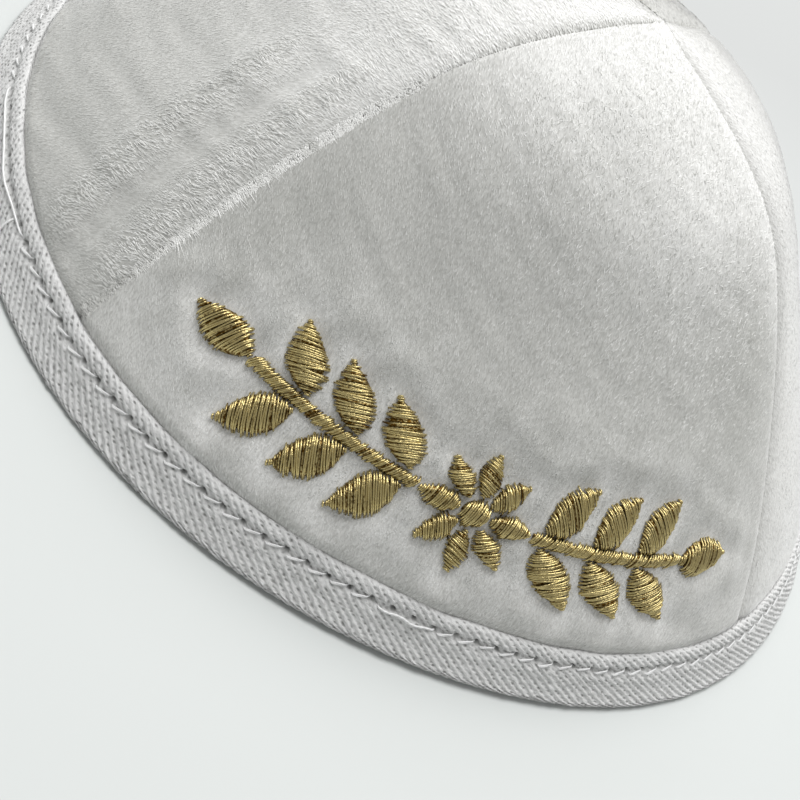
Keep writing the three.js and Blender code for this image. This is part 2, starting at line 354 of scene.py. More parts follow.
def natural_spline(knots, values, at):
    """The natural cubic spline through (knots, values), whose bends solve the usual tridiagonal system."""
    h = np.diff(knots)
    n = len(knots)
    system = np.eye(n)
    right = np.zeros((n, values.shape[1]))
    for i in range(1, n - 1):
        system[i, i - 1:i + 2] = h[i - 1], 2 * (h[i - 1] + h[i]), h[i]
        right[i] = 6 * ((values[i + 1] - values[i]) / h[i] - (values[i] - values[i - 1]) / h[i - 1])
    bend = np.linalg.solve(system, right)
    i = np.clip(np.searchsorted(knots, at) - 1, 0, n - 2)
    a = ((knots[i + 1] - at) / h[i])[:, None]
    b = 1 - a
    third = (h[i] ** 2 / 6)[:, None]
    curve = a * values[i] + b * values[i + 1]
    return curve + third * ((a ** 3 - a) * bend[i] + (b ** 3 - b) * bend[i + 1])


def run_lengths(points):
    """How far each point of a line lies along it."""
    return np.concatenate([[0], np.cumsum(np.linalg.norm(np.diff(points, axis=0), axis=1))])


def make_meridian():
    """The seam's profile and its mirror past the top, splined by chord length: lengths, radii and heights."""
    shares = np.array(SEAM_PROFILE, float)
    mirrored = shares[-4:-1][::-1] * [-1, 1]
    points = np.vstack([shares, mirrored]) * [EDGE_RADIUS, CROWN_HEIGHT - EDGE_HEIGHT] + [0, EDGE_HEIGHT]
    chord = run_lengths(points)
    curve = natural_spline(chord, points, np.linspace(0, chord[len(shares) - 1], 800))
    return run_lengths(curve), curve[:, 0], curve[:, 1]


MERIDIAN = make_meridian()
MERIDIAN_LENGTH = MERIDIAN[0][-1]


def meridian_at(length):
    """Radius, height and the outward direction (radial, up) at lengths above the tape's edge."""
    radius = np.interp(length, MERIDIAN[0], MERIDIAN[1])
    height = np.interp(length, MERIDIAN[0], MERIDIAN[2])
    slope_r = np.interp(length, MERIDIAN[0], np.gradient(MERIDIAN[1], MERIDIAN[0]))
    slope_z = np.interp(length, MERIDIAN[0], np.gradient(MERIDIAN[2], MERIDIAN[0]))
    return radius, height, slope_z, -slope_r


def seam_angle(seam, radius, height):
    """The seam's angle, bowed sideways by a sine of the elevation seen from the rim's middle."""
    angle, bow = SEAMS[seam]
    lift = np.arctan2(height - EDGE_HEIGHT, radius) / (np.pi / 2)
    return np.radians(angle + bow * np.sin(np.pi * lift))


def panel_angles(panel, radius, height):
    """The angles of a panel's two edges, half a seam's gap inside its seams."""
    start, end = PANELS[panel]["seams"]
    first = seam_angle(start, radius, height)
    last = seam_angle(end, radius, height)
    last = np.where(last < first, last + 2 * np.pi, last)
    gap = np.arcsin(np.minimum(1, SEAM_GAP / 2 / np.maximum(radius, SEAM_GAP / 2)))
    half = np.minimum(gap, (last - first) / 2)
    return first + half, last - half


def panel_edges(panel, length):
    """The radius at a length above the tape's edge, and the angles of a panel's two edges there."""
    radius, height, _, _ = meridian_at(length)
    return radius, *panel_angles(panel, radius, height)


def patches(table, panel, across, share):
    """The sum of a table's soft round patches on one panel: strength times exp(-x^2 - y^2)."""
    total = np.zeros(np.broadcast(across, share).shape)
    for x, y, spread_x, spread_y, strength in table.get(panel, ()):
        total += strength * np.exp(-((across - x) / spread_x) ** 2 - ((share - y) / spread_y) ** 2)
    return total


def cloth_tone_and_painted_light(panel, across, length):
    """Painted light and shade of the cloth: panel shade, patches, crumples, a halo round the stitches; tone
    blotches.
    """
    share = length / MERIDIAN_LENGTH
    # The panel's shade and these patches are painted light and shade, not the cloth's own colour.
    shade = PANELS[panel]["shade"] + patches(PAINTED_LIGHT_PATCHES, panel, across, share)
    if panel == "front":
        along = front_along(across, length)
        distance = np.maximum(embroidery_distance(along, length), 0)
        # Painted light and shade in the crumples and painted light in the halo round the stitches; the
        # blotches are tone.
        shade = shade + PAINTED_CRUMPLE_SHADE * ripple(along, length, 6, seed=61) * bell(distance / CRUMPLE_REACH)
        shade = shade + PAINTED_HALO_LIGHT * bell(distance / PAINTED_HALO_REACH)
        blotches = patches(RUFFLES, panel, across, share)
        shade = shade + BLOTCH_SHADE * ripple(along, length, 4.5, seed=62) * blotches
    return shade


def ridges(column, panel, across, share):
    """The sum of one column of the ridges' table on a panel, each a soft bank along a straight line."""
    total = np.zeros(np.broadcast(across, share).shape)
    for ridge in RIDGES.get(panel, ()):
        from_x, from_y, to_x, to_y, width = ridge[:5]
        run = (share - from_y) / (to_y - from_y)
        middle = from_x + (to_x - from_x) * run
        window = smooth_step(run * 5 + 0.5) * smooth_step((1 - run) * 4 + 0.5)
        total += ridge[column] * window * bell((across - middle) / width)
    return total


def ripple(a, b, wavelength, seed):
    """Soft seeded unevenness between about -1 and 1: six crossed sine waves of about one wavelength."""
    draw = np.random.default_rng(seed)
    total = 0
    for _ in range(6):
        turn = draw.uniform(0, 2 * np.pi)
        wave = 2 * np.pi / (wavelength * draw.uniform(0.7, 1.5))
        total = total + np.sin(wave * (a * math.cos(turn) + b * math.sin(turn)) + draw.uniform(0, 2 * np.pi))
    return total / 3


def stance(radius, height, angle):
    """How the worn rim stands: out at the seams, in and up between them, by a wave that fades upwards."""
    wave = np.cos(4 * (angle - RIM_TURN)) * (0.65 + 0.35 * np.cos(angle - RIM_FRONT))
    fade = 1 - smooth_step((height - 4) / 26)
    return radius + RIM_SPREAD * wave * fade, height + RIM_LIFT * (1 - wave) / 2 * fade


def turned(radius, height, angle, share):
    """A point round the axis, with the crown's slip to +X growing as the square of its share upwards."""
    radius, height = stance(radius, height, angle)
    x = radius * np.cos(angle) + CROWN_SLIP * share ** 2
    return np.stack(np.broadcast_arrays(x, radius * np.sin(angle), height), -1)


def panel_point(panel, across, length, depth=0.0, lift=0.0):
    """A panel's outer face, or a depth through its cloth, at shares across it and lengths above the tape.

    The point goes inwards along the meridian's normal by the depth or, on the face, by the quarter-round roll
    into each seam, then by the tape's press, the dents and the embroidery's pull, and outwards by the lift.
    """
    radius, height, out_r, out_z = meridian_at(length)
    share = np.clip(length / MERIDIAN_LENGTH, 0, 1)
    first, last = panel_angles(panel, radius, height)
    angle = first + (last - first) * across
    side = np.minimum(across, 1 - across) * (last - first) * radius
    seam = np.where(across < 0.5, *PANELS[panel]["seams"])
    round_off, dip = np.array(SEAM_ROUNDS)[seam], np.array(SEAM_DIPS)[seam]
    roll = 1 - np.sqrt(np.clip(1 - (1 - np.clip(side / round_off, 0, 1)) ** 2, 0, 1))
    narrow = np.clip(radius / (2 * round_off), 0, 1)
    free = smooth_step(length / CLOTH_RELEASE)
    dent = DENT_DEPTH * patches(DENTS, panel, across, share) * np.sin(np.pi * np.clip(across, 0, 1))
    dent = dent - ridges(RIDGE_RISE, panel, across, share)
    sag = sum(deep * ripple(angle * radius, length, wavelength, seed) for deep, wavelength, seed in SAGS)
    inwards = np.where(depth > 0, depth, dip * roll * narrow)
    inwards = inwards + EDGE_PRESS * (1 - free) + free * (dent + sag * np.clip(side / SAG_FREE, 0, 1))
    if panel == "front":
        inwards = inwards + embroidery_pull(across, length)
    inwards = inwards - lift
    return turned(radius - out_r * inwards, height - out_z * inwards, angle, share)


def front_along(across, length):
    """How far along the garland's band, in millimetres, a share across the front panel lies."""
    _, first, last = panel_edges("front", length)
    return (first + (last - first) * across - GARLAND_MIDDLE) * BAND_RADIUS


BAND_RADIUS = float(meridian_at(np.array([GARLAND_RISE]))[0][0])
GARLAND_MIDDLE = math.radians((SEAMS[0][0] + SEAMS[1][0]) / 2)


def list_motifs():
    """The garland's pads as (name, root, direction, length, width): petals, leaves, stems and the heart."""
    motifs = []
    petal_root = ROSETTE_HEART + STITCH_GAP
    petal_length = ROSETTE_RADIUS - petal_root
    widest = petal_root + petal_length * LEAF_BELLY
    petal_width = 2 * widest * math.sin(math.pi / PETALS) - 1.5 * STITCH_GAP
    for i in range(PETALS):
        turn = 2 * math.pi * i / PETALS
        root = (petal_root * math.cos(turn), petal_root * math.sin(turn))
        motifs.append((f"rosette_petal_{i + 1}", "leaf", root, turn, petal_length, petal_width))
    motifs.append(("rosette_heart", "heart", (-ROSETTE_HEART, 0), 0.0, 2 * ROSETTE_HEART, 2 * ROSETTE_HEART))
    stem_start = ROSETTE_RADIUS + STITCH_GAP
    first_pair = stem_start + STEM_WIDTH
    stem_end = first_pair + LEAF_PAIRS * LEAF_STEP
    for side_name, side in (("left", -1), ("right", 1)):
        outward = 0.0 if side > 0 else math.pi
        stem_root = (side * stem_start, 0)
        motifs.append((f"stem_{side_name}", "stem", stem_root, outward, stem_end - stem_start, STEM_WIDTH))
        for pair in range(LEAF_PAIRS):
            for level_name, level in (("lower", -1), ("upper", 1)):
                root = (side * (first_pair + pair * LEAF_STEP), level * (STEM_WIDTH / 2 + STITCH_GAP))
                lean = level * LEAF_LEAN if side > 0 else math.pi - level * LEAF_LEAN
                name = f"leaf_{side_name}_{level_name}_{pair + 1}"
                motifs.append((name, "leaf", root, lean, LEAF_LENGTH, LEAF_WIDTH))
        tip_root = (side * (stem_end + STITCH_GAP), 0)
        motifs.append((f"leaf_{side_name}_tip", "leaf", tip_root, outward, LEAF_LENGTH, LEAF_WIDTH))
    return motifs


MOTIFS = list_motifs()


def half_width(kind, share, width):
    """Half the width of a pad at a share of its length: a leaf's belly, a round heart or an even stem."""
    if kind == "leaf":
        taper = math.log(0.5) / math.log(LEAF_BELLY)
        return width / 2 * np.sin(np.pi * np.clip(share, 0, 1) ** taper)
    if kind == "heart":
        return width / 2 * np.sqrt(np.clip(1 - (2 * share - 1) ** 2, 0, 1))
    return np.full(np.shape(share), width / 2)


def embroidery_distance(along, rise):
    """How far a place of the front panel lies outside the nearest pad, in millimetres, negative on a pad."""
    nearest = np.full(np.shape(along), 99.0)
    for _, kind, root, direction, length, width in MOTIFS:
        a = (along - root[0]) * math.cos(direction) + (rise - GARLAND_RISE - root[1]) * math.sin(direction)
        b = -(along - root[0]) * math.sin(direction) + (rise - GARLAND_RISE - root[1]) * math.cos(direction)
        past = np.maximum(np.maximum(-a, a - length), 0)
        edge = np.abs(b) - half_width(kind, np.clip(a / length, 0, 1), width)
        nearest = np.minimum(nearest, np.where(past > 0, np.hypot(past, np.maximum(edge, 0)), edge))
    return nearest


def embroidery_pull(across, length):
    """How far the stitches pull the front panel in at the pads, fading into a soft swell and puckers."""
    along = front_along(across, length)
    distance = np.maximum(embroidery_distance(along, length), 0)
    swell = SWELL_HEIGHT * bell((distance - SWELL_DISTANCE) / SWELL_SPREAD)
    pucker = PUCKER_DEPTH * ripple(along, length, 6.5, seed=9) * bell(distance / PUCKER_REACH)
    swell = swell * (1 + 0.6 * ripple(along, length, 13, seed=8))
    return PULL_DEPTH * bell(distance / PULL_REACH) - swell + pucker


def build_mesh(name, points, quads, triangles=None, uv=None, shade=None, smooth=True):
    """A mesh object from millimetre points and arrays of corners, facing outwards by its signed volume."""
    points = np.asarray(points, float).reshape(-1, 3)
    quads = np.asarray(quads, np.int64).reshape(-1, 4)
    triangles = np.zeros((0, 3), np.int64) if triangles is None else np.asarray(triangles, np.int64)
    halves = np.vstack([quads[:, [0, 1, 2]], quads[:, [0, 2, 3]], triangles])
    a, b, c = (points[halves[:, k]] for k in range(3))
    if np.einsum("ij,ij->i", a, np.cross(b, c)).sum() < 0:
        quads, triangles = quads[:, ::-1], triangles[:, ::-1]
    corners = np.concatenate([quads.ravel(), triangles.ravel()]).astype(np.int32)
    totals = np.concatenate([np.full(len(quads), 4), np.full(len(triangles), 3)]).astype(np.int32)
    starts = np.concatenate([[0], np.cumsum(totals)[:-1]]).astype(np.int32)
    mesh = bpy.data.meshes.new(name)
    mesh.vertices.add(len(points))
    mesh.vertices.foreach_set("co", (points * MM).astype(np.float32).ravel())
    mesh.loops.add(len(corners))
    mesh.loops.foreach_set("vertex_index", corners)
    mesh.polygons.add(len(totals))
    mesh.polygons.foreach_set("loop_start", starts)
    mesh.polygons.foreach_set("loop_total", totals)
    mesh.polygons.foreach_set("use_smooth", np.full(len(totals), smooth))
    if uv is not None:
        layer = mesh.uv_layers.new(name="cloth")
        layer.data.foreach_set("uv", np.asarray(uv, np.float32).reshape(-1, 2)[corners].ravel())
    if shade is not None:
        layer = mesh.attributes.new("shade", "FLOAT", "POINT")
        layer.data.foreach_set("value", np.asarray(shade, np.float32).ravel())
    mesh.update()
    mesh.validate()
    piece = bpy.data.objects.new(name, mesh)
    bpy.context.scene.collection.objects.link(piece)
    return piece


def grid_quads(rows, columns, offset=0, wrap_columns=False, wrap_rows=False):
    """Corners of the quads of a grid of points stored row by row, closed round where asked."""
    j = np.arange(rows if wrap_rows else rows - 1)
    i = np.arange(columns if wrap_columns else columns - 1)
    j, i = (m.ravel() for m in np.meshgrid(j, i, indexing="ij"))
    right, up = (i + 1) % columns, (j + 1) % rows
    quads = np.stack([j * columns + i, j * columns + right, up * columns + right, up * columns + i], 1)
    return quads + offset


def closed_sheet(outer, inner):
    """Points and quads of a wall between two grids of the same size: two faces and four edges."""
    rows, columns = outer.shape[:2]
    count = rows * columns
    front = grid_quads(rows, columns)
    back = grid_quads(rows, columns, count)[:, ::-1]
    rim = np.concatenate([
        np.arange(columns),
        np.arange(1, rows) * columns + columns - 1,
        (rows - 1) * columns + np.arange(columns - 2, -1, -1),
        np.arange(rows - 2, 0, -1) * columns,
    ])
    following = np.roll(rim, -1)
    edge = np.stack([rim, rim + count, following + count, following], 1)
    return np.concatenate([outer.reshape(-1, 3), inner.reshape(-1, 3)]), np.vstack([front, back, edge])


def tubes(paths, sideways, radius, flatten=1.0):
    """Closed tubes along many paths at once: a ring of points round each path point, and a point at each end.

    paths is (tubes, points, 3), sideways points across each thread along the cloth, radius (tubes, points).
    """
    count, steps = paths.shape[:2]
    sides = THREAD_SIDES
    along = unit(np.gradient(paths, axis=1))
    normal = unit(np.cross(along, sideways))
    across = unit(np.cross(normal, along))
    turn = np.arange(sides) * 2 * np.pi / sides
    ring = across[:, :, None] * np.cos(turn)[None, None, :, None]
    ring = ring + flatten * normal[:, :, None] * np.sin(turn)[None, None, :, None]
    rings = paths[:, :, None] + ring * radius[:, :, None, None]
    tip = np.array([-0.6, 0.6])[None, :, None]
    ends = paths[:, [0, -1]] + along[:, [0, -1]] * radius[:, [0, -1], None] * tip
    points = np.concatenate([rings.reshape(count, -1, 3), ends], 1)
    per_tube = points.shape[1]
    quads = grid_quads(steps, sides, wrap_columns=True)
    spin = np.arange(sides)
    first = np.stack([np.full(sides, steps * sides), (spin + 1) % sides, spin], 1)
    tail = (steps - 1) * sides
    last = np.stack([np.full(sides, steps * sides + 1), tail + spin, tail + (spin + 1) % sides], 1)
    shift = np.arange(count)[:, None, None] * per_tube
    quads = (quads[None] + shift).reshape(-1, 4)
    triangles = (np.vstack([first, last])[None] + shift).reshape(-1, 3)
    return points.reshape(-1, 3), quads, triangles, per_tube


class Surface:
    """A node material with its Principled shader and short makers for its nodes."""

    def __init__(self, name):
        self.material = bpy.data.materials.new(name)
        self.material.use_nodes = True
        self.tree = self.material.node_tree
        self.shader = self.tree.nodes["Principled BSDF"]

    def feed(self, socket, value):
        """Links another node's output to a socket, or sets the socket's own value."""
        if isinstance(value, bpy.types.NodeSocket):
            self.tree.links.new(value, socket)
        else:
            socket.default_value = value

    def wire(self, node, **sockets):
        """Feeds a node's sockets by name, with an underscore for each space."""
        for name, value in sockets.items():
            self.feed(node.inputs[name.replace("_", " ")], value)
        return node

    def add(self, kind, settings=None, **sockets):
        """A new node of a kind."""
        node = self.tree.nodes.new("ShaderNode" + kind)
        for key, value in (settings or {}).items():
            setattr(node, key, value)
        return self.wire(node, **sockets)

    def calc(self, operation, *values, kind="Math"):
        """The result of a sum on values and outputs."""
        node = self.add(kind, {"operation": operation})
        for socket, value in zip(node.inputs, values):
            self.feed(socket, value)
        return node.outputs[0]

    def ramp(self, value, dark, light, low=0.3, high=0.7):
        """A colour between two others, dark at the low value and light at the high one."""
        ramp = self.add("ValToRGB", Fac=value)
        for element, position, colour in zip(ramp.color_ramp.elements, (low, high), (dark, light)):
            element.position = position
            element.color = (*colour, 1)
        return ramp.outputs["Color"]

    def multiplied(self, colour, other, share=1.0):
        """A colour darkened by another, by a share."""
        mix = self.add("MixRGB", {"blend_type": "MULTIPLY"}, Fac=share, Color1=colour, Color2=other)
        return mix.outputs["Color"]

    def noise(self, place, stretch=None, **sockets):
        """A noise value at a place, which may be stretched first."""
        if stretch:
            place = self.add("Mapping", Vector=place, Scale=stretch).outputs["Vector"]
        return self.add("TexNoise", Vector=place, **sockets).outputs["Fac"]

    def limited(self, value, low, high):
        """A value's share of the way from low to high, between 0 and 1."""
        node = self.add("MapRange", {"clamp": True}, Value=value, From_Min=low, From_Max=high)
        return node.outputs["Result"]

    def bump(self, height, strength, distance):
        """The normal of a surface roughened by a height."""
        return self.add("Bump", Strength=strength, Distance=distance, Height=height).outputs["Normal"]

    def shade(self):
        """The mesh's shade attribute: its tone, with painted light and shade on the cloth, tape and pads."""
        return self.add("Attribute", {"attribute_name": "shade"}).outputs["Fac"]

    def uv(self):
        """The mesh's own cloth coordinates."""
        return self.add("UVMap", {"uv_map": "cloth"}).outputs["UV"]

    def object_place(self):
        """The place in the object's own axes, in metres."""
        return self.add("TexCoord").outputs["Object"]

    def finished(self, **sockets):
        """The material, with the shader's sockets fed."""
        self.wire(self.shader, **sockets)
        return self.material


def velvet_material():
    """Off-white velvet: streaks of nap along the cloth's UV, soft patches, sheen and a fine bump."""
    cloth = Surface("velvet")
    uv = cloth.uv()
    streak = cloth.noise(uv, (3.4, 1.1, 1), Scale=1.0, Detail=4.0, Roughness=0.65, Distortion=0.5)
    patch = cloth.noise(uv, (0.045, 0.03, 1), Scale=1.0, Detail=2.0)
    # The shade attribute holds painted light and shade, turned into colour here.
    colour = cloth.ramp(cloth.shade(), VELVET_DARK, VELVET_LIGHT, 0.0, 1.0)
    colour = cloth.multiplied(colour, cloth.ramp(streak, (0.69, 0.69, 0.68), WHITE, 0.36, 0.64))
    colour = cloth.multiplied(colour, cloth.ramp(patch, (0.88, 0.88, 0.88), WHITE), 0.5)
    return cloth.finished(Base_Color=colour, Normal=cloth.bump(streak, 0.25, 0.0002), Roughness=0.85,
                          Sheen_Weight=1.0, Sheen_Roughness=0.3, Specular_IOR_Level=0.2)


def pile_material():
    """The velvet's tufts: each of a grey to white shade that holds painted light and shade, with a silky
    sheen.
    """
    cloth = Surface("velvet_pile")
    colour = cloth.ramp(cloth.shade(), VELVET_DARK, VELVET_LIGHT, 0.0, 1.0)
    return cloth.finished(Base_Color=colour, Roughness=0.5, Sheen_Weight=1.0, Sheen_Roughness=0.3,
                          Specular_IOR_Level=0.35)


def tape_material():
    """Off-white cotton twill: ribs along the UV's first axis, yarn grain, and painted shade in pits between
    floats and in needle holes.
    """
    cloth = Surface("twill_tape")
    uv = cloth.uv()
    shaken = cloth.add("TexNoise", Vector=uv, Scale=0.7, Detail=2.0).outputs["Color"]
    offset = cloth.calc("MULTIPLY_ADD", shaken, (0.34, 1.2, 0), uv, kind="VectorMath")
    parts = cloth.add("SeparateXYZ", Vector=offset).outputs

    def wave(value, sharpness):
        """A cosine wave of the value between 0 and 1, narrowed by a power."""
        cosine = cloth.calc("COSINE", cloth.calc("MULTIPLY", value, 2 * math.pi))
        return cloth.calc("POWER", cloth.calc("MULTIPLY_ADD", cosine, 0.5, 0.5), sharpness)

    # Painted shade in the valleys between ribs and the pits between floats, made patchy by a noise; it also
    # sets the bump.
    valley = wave(cloth.calc("ADD", parts["X"], 0.5), 3.6)
    dots = wave(cloth.calc("MULTIPLY_ADD", parts["X"], 0.5, parts["Y"]), 1.6)
    patchy_pit_shade = cloth.limited(cloth.noise(uv, Scale=0.8, Detail=3.0), 0.33, 0.62)
    deep = cloth.calc("MULTIPLY", cloth.calc("MULTIPLY_ADD", dots, 0.72, 0.24), patchy_pit_shade)
    pit_relief_and_shade = cloth.calc("MULTIPLY", valley, deep)
    yarn = cloth.noise(uv, (2.6, 1.5, 1), Scale=1.0, Detail=5.0, Roughness=0.75)
    clean = cloth.ramp(yarn, (0.69, 0.69, 0.68), (0.98, 0.98, 0.97), 0.34, 0.66)
    pit_shaded_colour = cloth.add("MixRGB", {"blend_type": "MIX"}, Fac=pit_relief_and_shade, Color1=clean, Color2=(0.26, 0.26, 0.25, 1))
    # Painted shade darkens the needle holes, read from the shade attribute.
    painted_hole_shade = cloth.ramp(cloth.shade(), (0.08, 0.08, 0.075), WHITE, 0.0, 0.85)
    height = cloth.calc("MULTIPLY_ADD", pit_relief_and_shade, -1.2, yarn)
    return cloth.finished(Base_Color=cloth.multiplied(pit_shaded_colour.outputs["Color"], painted_hole_shade),
                          Normal=cloth.bump(height, 1.0, 0.0002), Roughness=0.8, Sheen_Weight=0.15)


def sewing_thread_material():
    """White polyester thread with plies: a slanting wave along each thread's UV, a little glossy."""
    cloth = Surface("sewing_thread")
    ply = cloth.add("TexWave", Vector=cloth.uv(), Scale=1.0, Distortion=0.4, Detail=1.0).outputs["Fac"]
    return cloth.finished(Base_Color=cloth.ramp(ply, (0.85, 0.85, 0.84), WHITE, 0.1, 0.8), Roughness=0.38)


def gold_material():
    """Dull metallic gold thread, each stitch of its own shade, with fine filament streaks."""
    thread = Surface("gold_thread")
    wisp = thread.noise(thread.object_place(), Scale=2600.0, Detail=2.0)
    uneven = thread.calc("MULTIPLY_ADD", wisp, 1.3, thread.shade())
    colour = thread.ramp(uneven, GOLD_DARK, GOLD_LIGHT, 0.62, 1.72)
    return thread.finished(Base_Color=colour, Normal=thread.bump(wisp, 0.9, 0.00012), Metallic=0.85,
                           Roughness=0.3, Specular_IOR_Level=0.3, Coat_Weight=0.06, Coat_Roughness=0.22)


def floor_material():
    """A dull pale surface with painted shade that darkens it a little towards the back."""
    surface = Surface("pale_floor")
    far = surface.add("SeparateXYZ", Vector=surface.object_place()).outputs["Y"]
    painted_shade_to_back = surface.limited(far, -0.02, 0.16)
    colour = surface.ramp(painted_shade_to_back, (0.645, 0.668, 0.657), (0.53, 0.54, 0.535), 0.0, 1.0)
    return surface.finished(Base_Color=colour, Roughness=1.0, Specular_IOR_Level=0.0)


def place(piece, slot, material, *nodes):
    """Gives a piece its material and body and hides the nodes that it stands for; the slot is not used."""
    piece.data.materials.append(material)
    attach(piece, "root")
    if nodes:
        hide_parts(*nodes)
    return piece


def nap_uv(panel, across, length):
    """Cloth coordinates in millimetres turned along the nap: across it and along it."""
    radius, first, last = panel_edges(panel, length)
    middle = (first + last) / 2
    x = (first + (last - first) * across - middle) * radius
    turn = math.radians(PANELS[panel]["nap"])
    return np.stack([x * math.cos(turn) - length * math.sin(turn),
                     x * math.sin(turn) + length * math.cos(turn)], -1)


def crowded(count, crowd):
    """Shares from 0 to 1 that stand closer together towards both ends."""
    t = np.linspace(0, 1, count)
    return t - crowd * np.sin(2 * np.pi * t) / (2 * np.pi)


def make_panel(panel, material):
    """A velvet gore: its outer and inner face, a wall apart, with the hem inside the tape's fold."""
    columns, rows = PANELS[panel]["grid"]
    across = crowded(columns, 0.72)[None, :]
    tip = MERIDIAN_LENGTH - SEAM_GAP * 0.75
    rises = np.concatenate([np.linspace(0, 0.06, 12), np.linspace(0.06, 1, rows)[1:]])
    across, length = np.broadcast_arrays(across, (tip * rises)[:, None])
    hem_top = EDGE_HEIGHT - TAPE_INSET * math.cos(TAPE_SLOPE)
    hem_height = np.linspace(HEM_RISE, hem_top, 4)[:3, None]
    _, first, last = panel_edges(panel, np.zeros(1))
    hem_angle = first + (last - first) * across[:1]

    def face(depth):
        tape_face = RIM_RADIUS - hem_height / math.tan(TAPE_SLOPE)
        hem = turned(tape_face - (TAPE_INSET + depth) / math.sin(TAPE_SLOPE), hem_height, hem_angle, 0.0)
        return np.concatenate([hem, panel_point(panel, across, length, depth)])

    points, quads = closed_sheet(face(0.0), face(PANEL_WALL))
    hem_length = np.repeat(hem_height - hem_top, across.shape[1], 1)
    uv = nap_uv(panel, np.concatenate([across[:3], across]), np.concatenate([hem_length, length]))
    # The cloth's shade, mostly painted light and shade, goes to the panel's shade attribute.
    shade_with_painted_light = cloth_tone_and_painted_light(panel, across, length)
    shade_with_painted_light = np.clip(np.concatenate([shade_with_painted_light[:3], shade_with_painted_light]), 0, 1).ravel()
    piece = build_mesh(f"velvet_{panel}", points, quads, uv=np.concatenate([uv.reshape(-1, 2)] * 2),
                       shade=np.tile(shade_with_painted_light, 2))
    return place(piece, "velvet", material, f"panel_{panel}")


def make_spikes(name, base, out, flat, rise, reach, width, keel, shoulder, shade, material):
    """Slim closed spikes, each of one shade: two root corners, a shoulder at the keel's height and a tip."""
    side = unit(np.cross(out, flat)) * width[:, None]
    spike = (flat * np.cos(rise)[:, None] + out * np.sin(rise)[:, None]) * reach[:, None]
    root = base - out * (TUFT_ROOT + keel[:, None])
    ridge = base + out * keel[:, None] + flat * shoulder[:, None]
    corners = np.stack([root + side, root - side, ridge, base + spike], 1)
    faces = np.array([[0, 1, 2], [0, 2, 3], [2, 1, 3], [1, 0, 3]])
    triangles = (faces[None] + 4 * np.arange(len(base))[:, None, None]).reshape(-1, 3)
    shade = np.repeat(np.clip(shade, 0, 1), 4)
    piece = build_mesh(name, corners, np.zeros((0, 4), int), triangles, shade=shade, smooth=False)
    return place(piece, "velvet", material)


def make_pile(panel, material):
    """The panel's tufts: slim spikes along the nap, raised, turned and given painted light where the pile is
    ruffled.
    """
    facts = PANELS[panel]
    draw = np.random.default_rng(facts["seed"])
    wanted = facts["tufts"]
    length = draw.uniform(0, MERIDIAN_LENGTH, wanted * 3)
    kept = draw.uniform(0, EDGE_RADIUS, len(length)) < meridian_at(length)[0]
    length = length[kept][:wanted]
    across = draw.uniform(0, 1, len(length))
    share = length / MERIDIAN_LENGTH
    ruffle = patches(RUFFLES, panel, across, share) + ridges(RIDGE_RUFFLE, panel, across, share)
    ruffle = np.clip(ruffle, 0, 1)
    crushed = np.ones(len(length))
    lift = TUFT_LIFT
    if panel == "front":
        distance = embroidery_distance(front_along(across, length), length)
        clear = distance > TUFT_CLEAR
        across, length, ruffle, distance = across[clear], length[clear], ruffle[clear], distance[clear]
        crushed = np.clip(distance / CRUSHED_REACH, 0.3, 1)
        lift = TUFT_LIFT + TUFT_LIFT * bell(distance / CRUMPLE_REACH)
    count = len(length)
    base = panel_point(panel, across, length, 0.0, lift)
    step = 0.02
    aside = step * 0.1
    right = unit(panel_point(panel, across + aside, length) - panel_point(panel, across - aside, length))
    upward = unit(panel_point(panel, across, length + step) - panel_point(panel, across, length - step))
    out = unit(np.cross(right, upward))
    _, first, last = panel_edges(panel, length)
    from_middle = (last - first) * (across - 0.5)
    x = from_middle * NAP_RADIUS
    twist = facts["twist"] * np.maximum(length / MERIDIAN_LENGTH - TWIST_START, 0)
    turn = math.radians(facts["nap"]) + from_middle + twist
    turn = turn + NAP_SWAY * ripple(x, length, 16, seed=facts["seed"] + 40)
    turn = turn + RUFFLED_TURN * ruffle * ripple(x, length, 3.5, seed=51)
    turn = turn + draw.normal(0, 1, count) * (TUFT_WANDER + facts["curl"] * ruffle)
    silk = facts["silk"] * (1 - ruffle)
    rise = np.radians(TUFT_RISE - SILK_LOWER * silk)
    rise = rise + ruffle * (RUFFLED_RISE + RUFFLED_SWAY * ripple(x, length, 2.6, seed=52))
    rise = rise + draw.normal(0, 1, count) * (RISE_SPREAD + RUFFLED_SPREAD * ruffle)
    rise = np.clip(rise, 0.02, 1.0) * crushed
    flat = right * np.sin(turn)[:, None] + upward * np.cos(turn)[:, None]
    reach = TUFT_REACH + facts["brush"] * ruffle + SILK_REACH * silk + draw.normal(0, TUFT_SPREAD, count)
    reach = reach * np.clip(crushed, 0.5, 1)
    width = TUFT_WIDTH + TUFT_WIDER * draw.uniform(0, 1, count) - RUFFLED_NARROWER * ruffle
    keel = (TUFT_KEEL + RUFFLED_KEEL * ruffle) * crushed
    shoulder = TUFT_SHOULDER + SILK_SHOULDER * silk
    # Ruffled tufts are given painted light for the sheen of their raised fibres.
    shade = cloth_tone_and_painted_light(panel, across, length) + facts["ruffle_painted_light"] * ruffle
    shade = shade + draw.normal(0, 1, count) * (facts["grain"] + facts["fleck"] * ruffle)
    return make_spikes(f"pile_{panel}", base, out, flat, rise, reach, width, keel, shoulder, shade, material)


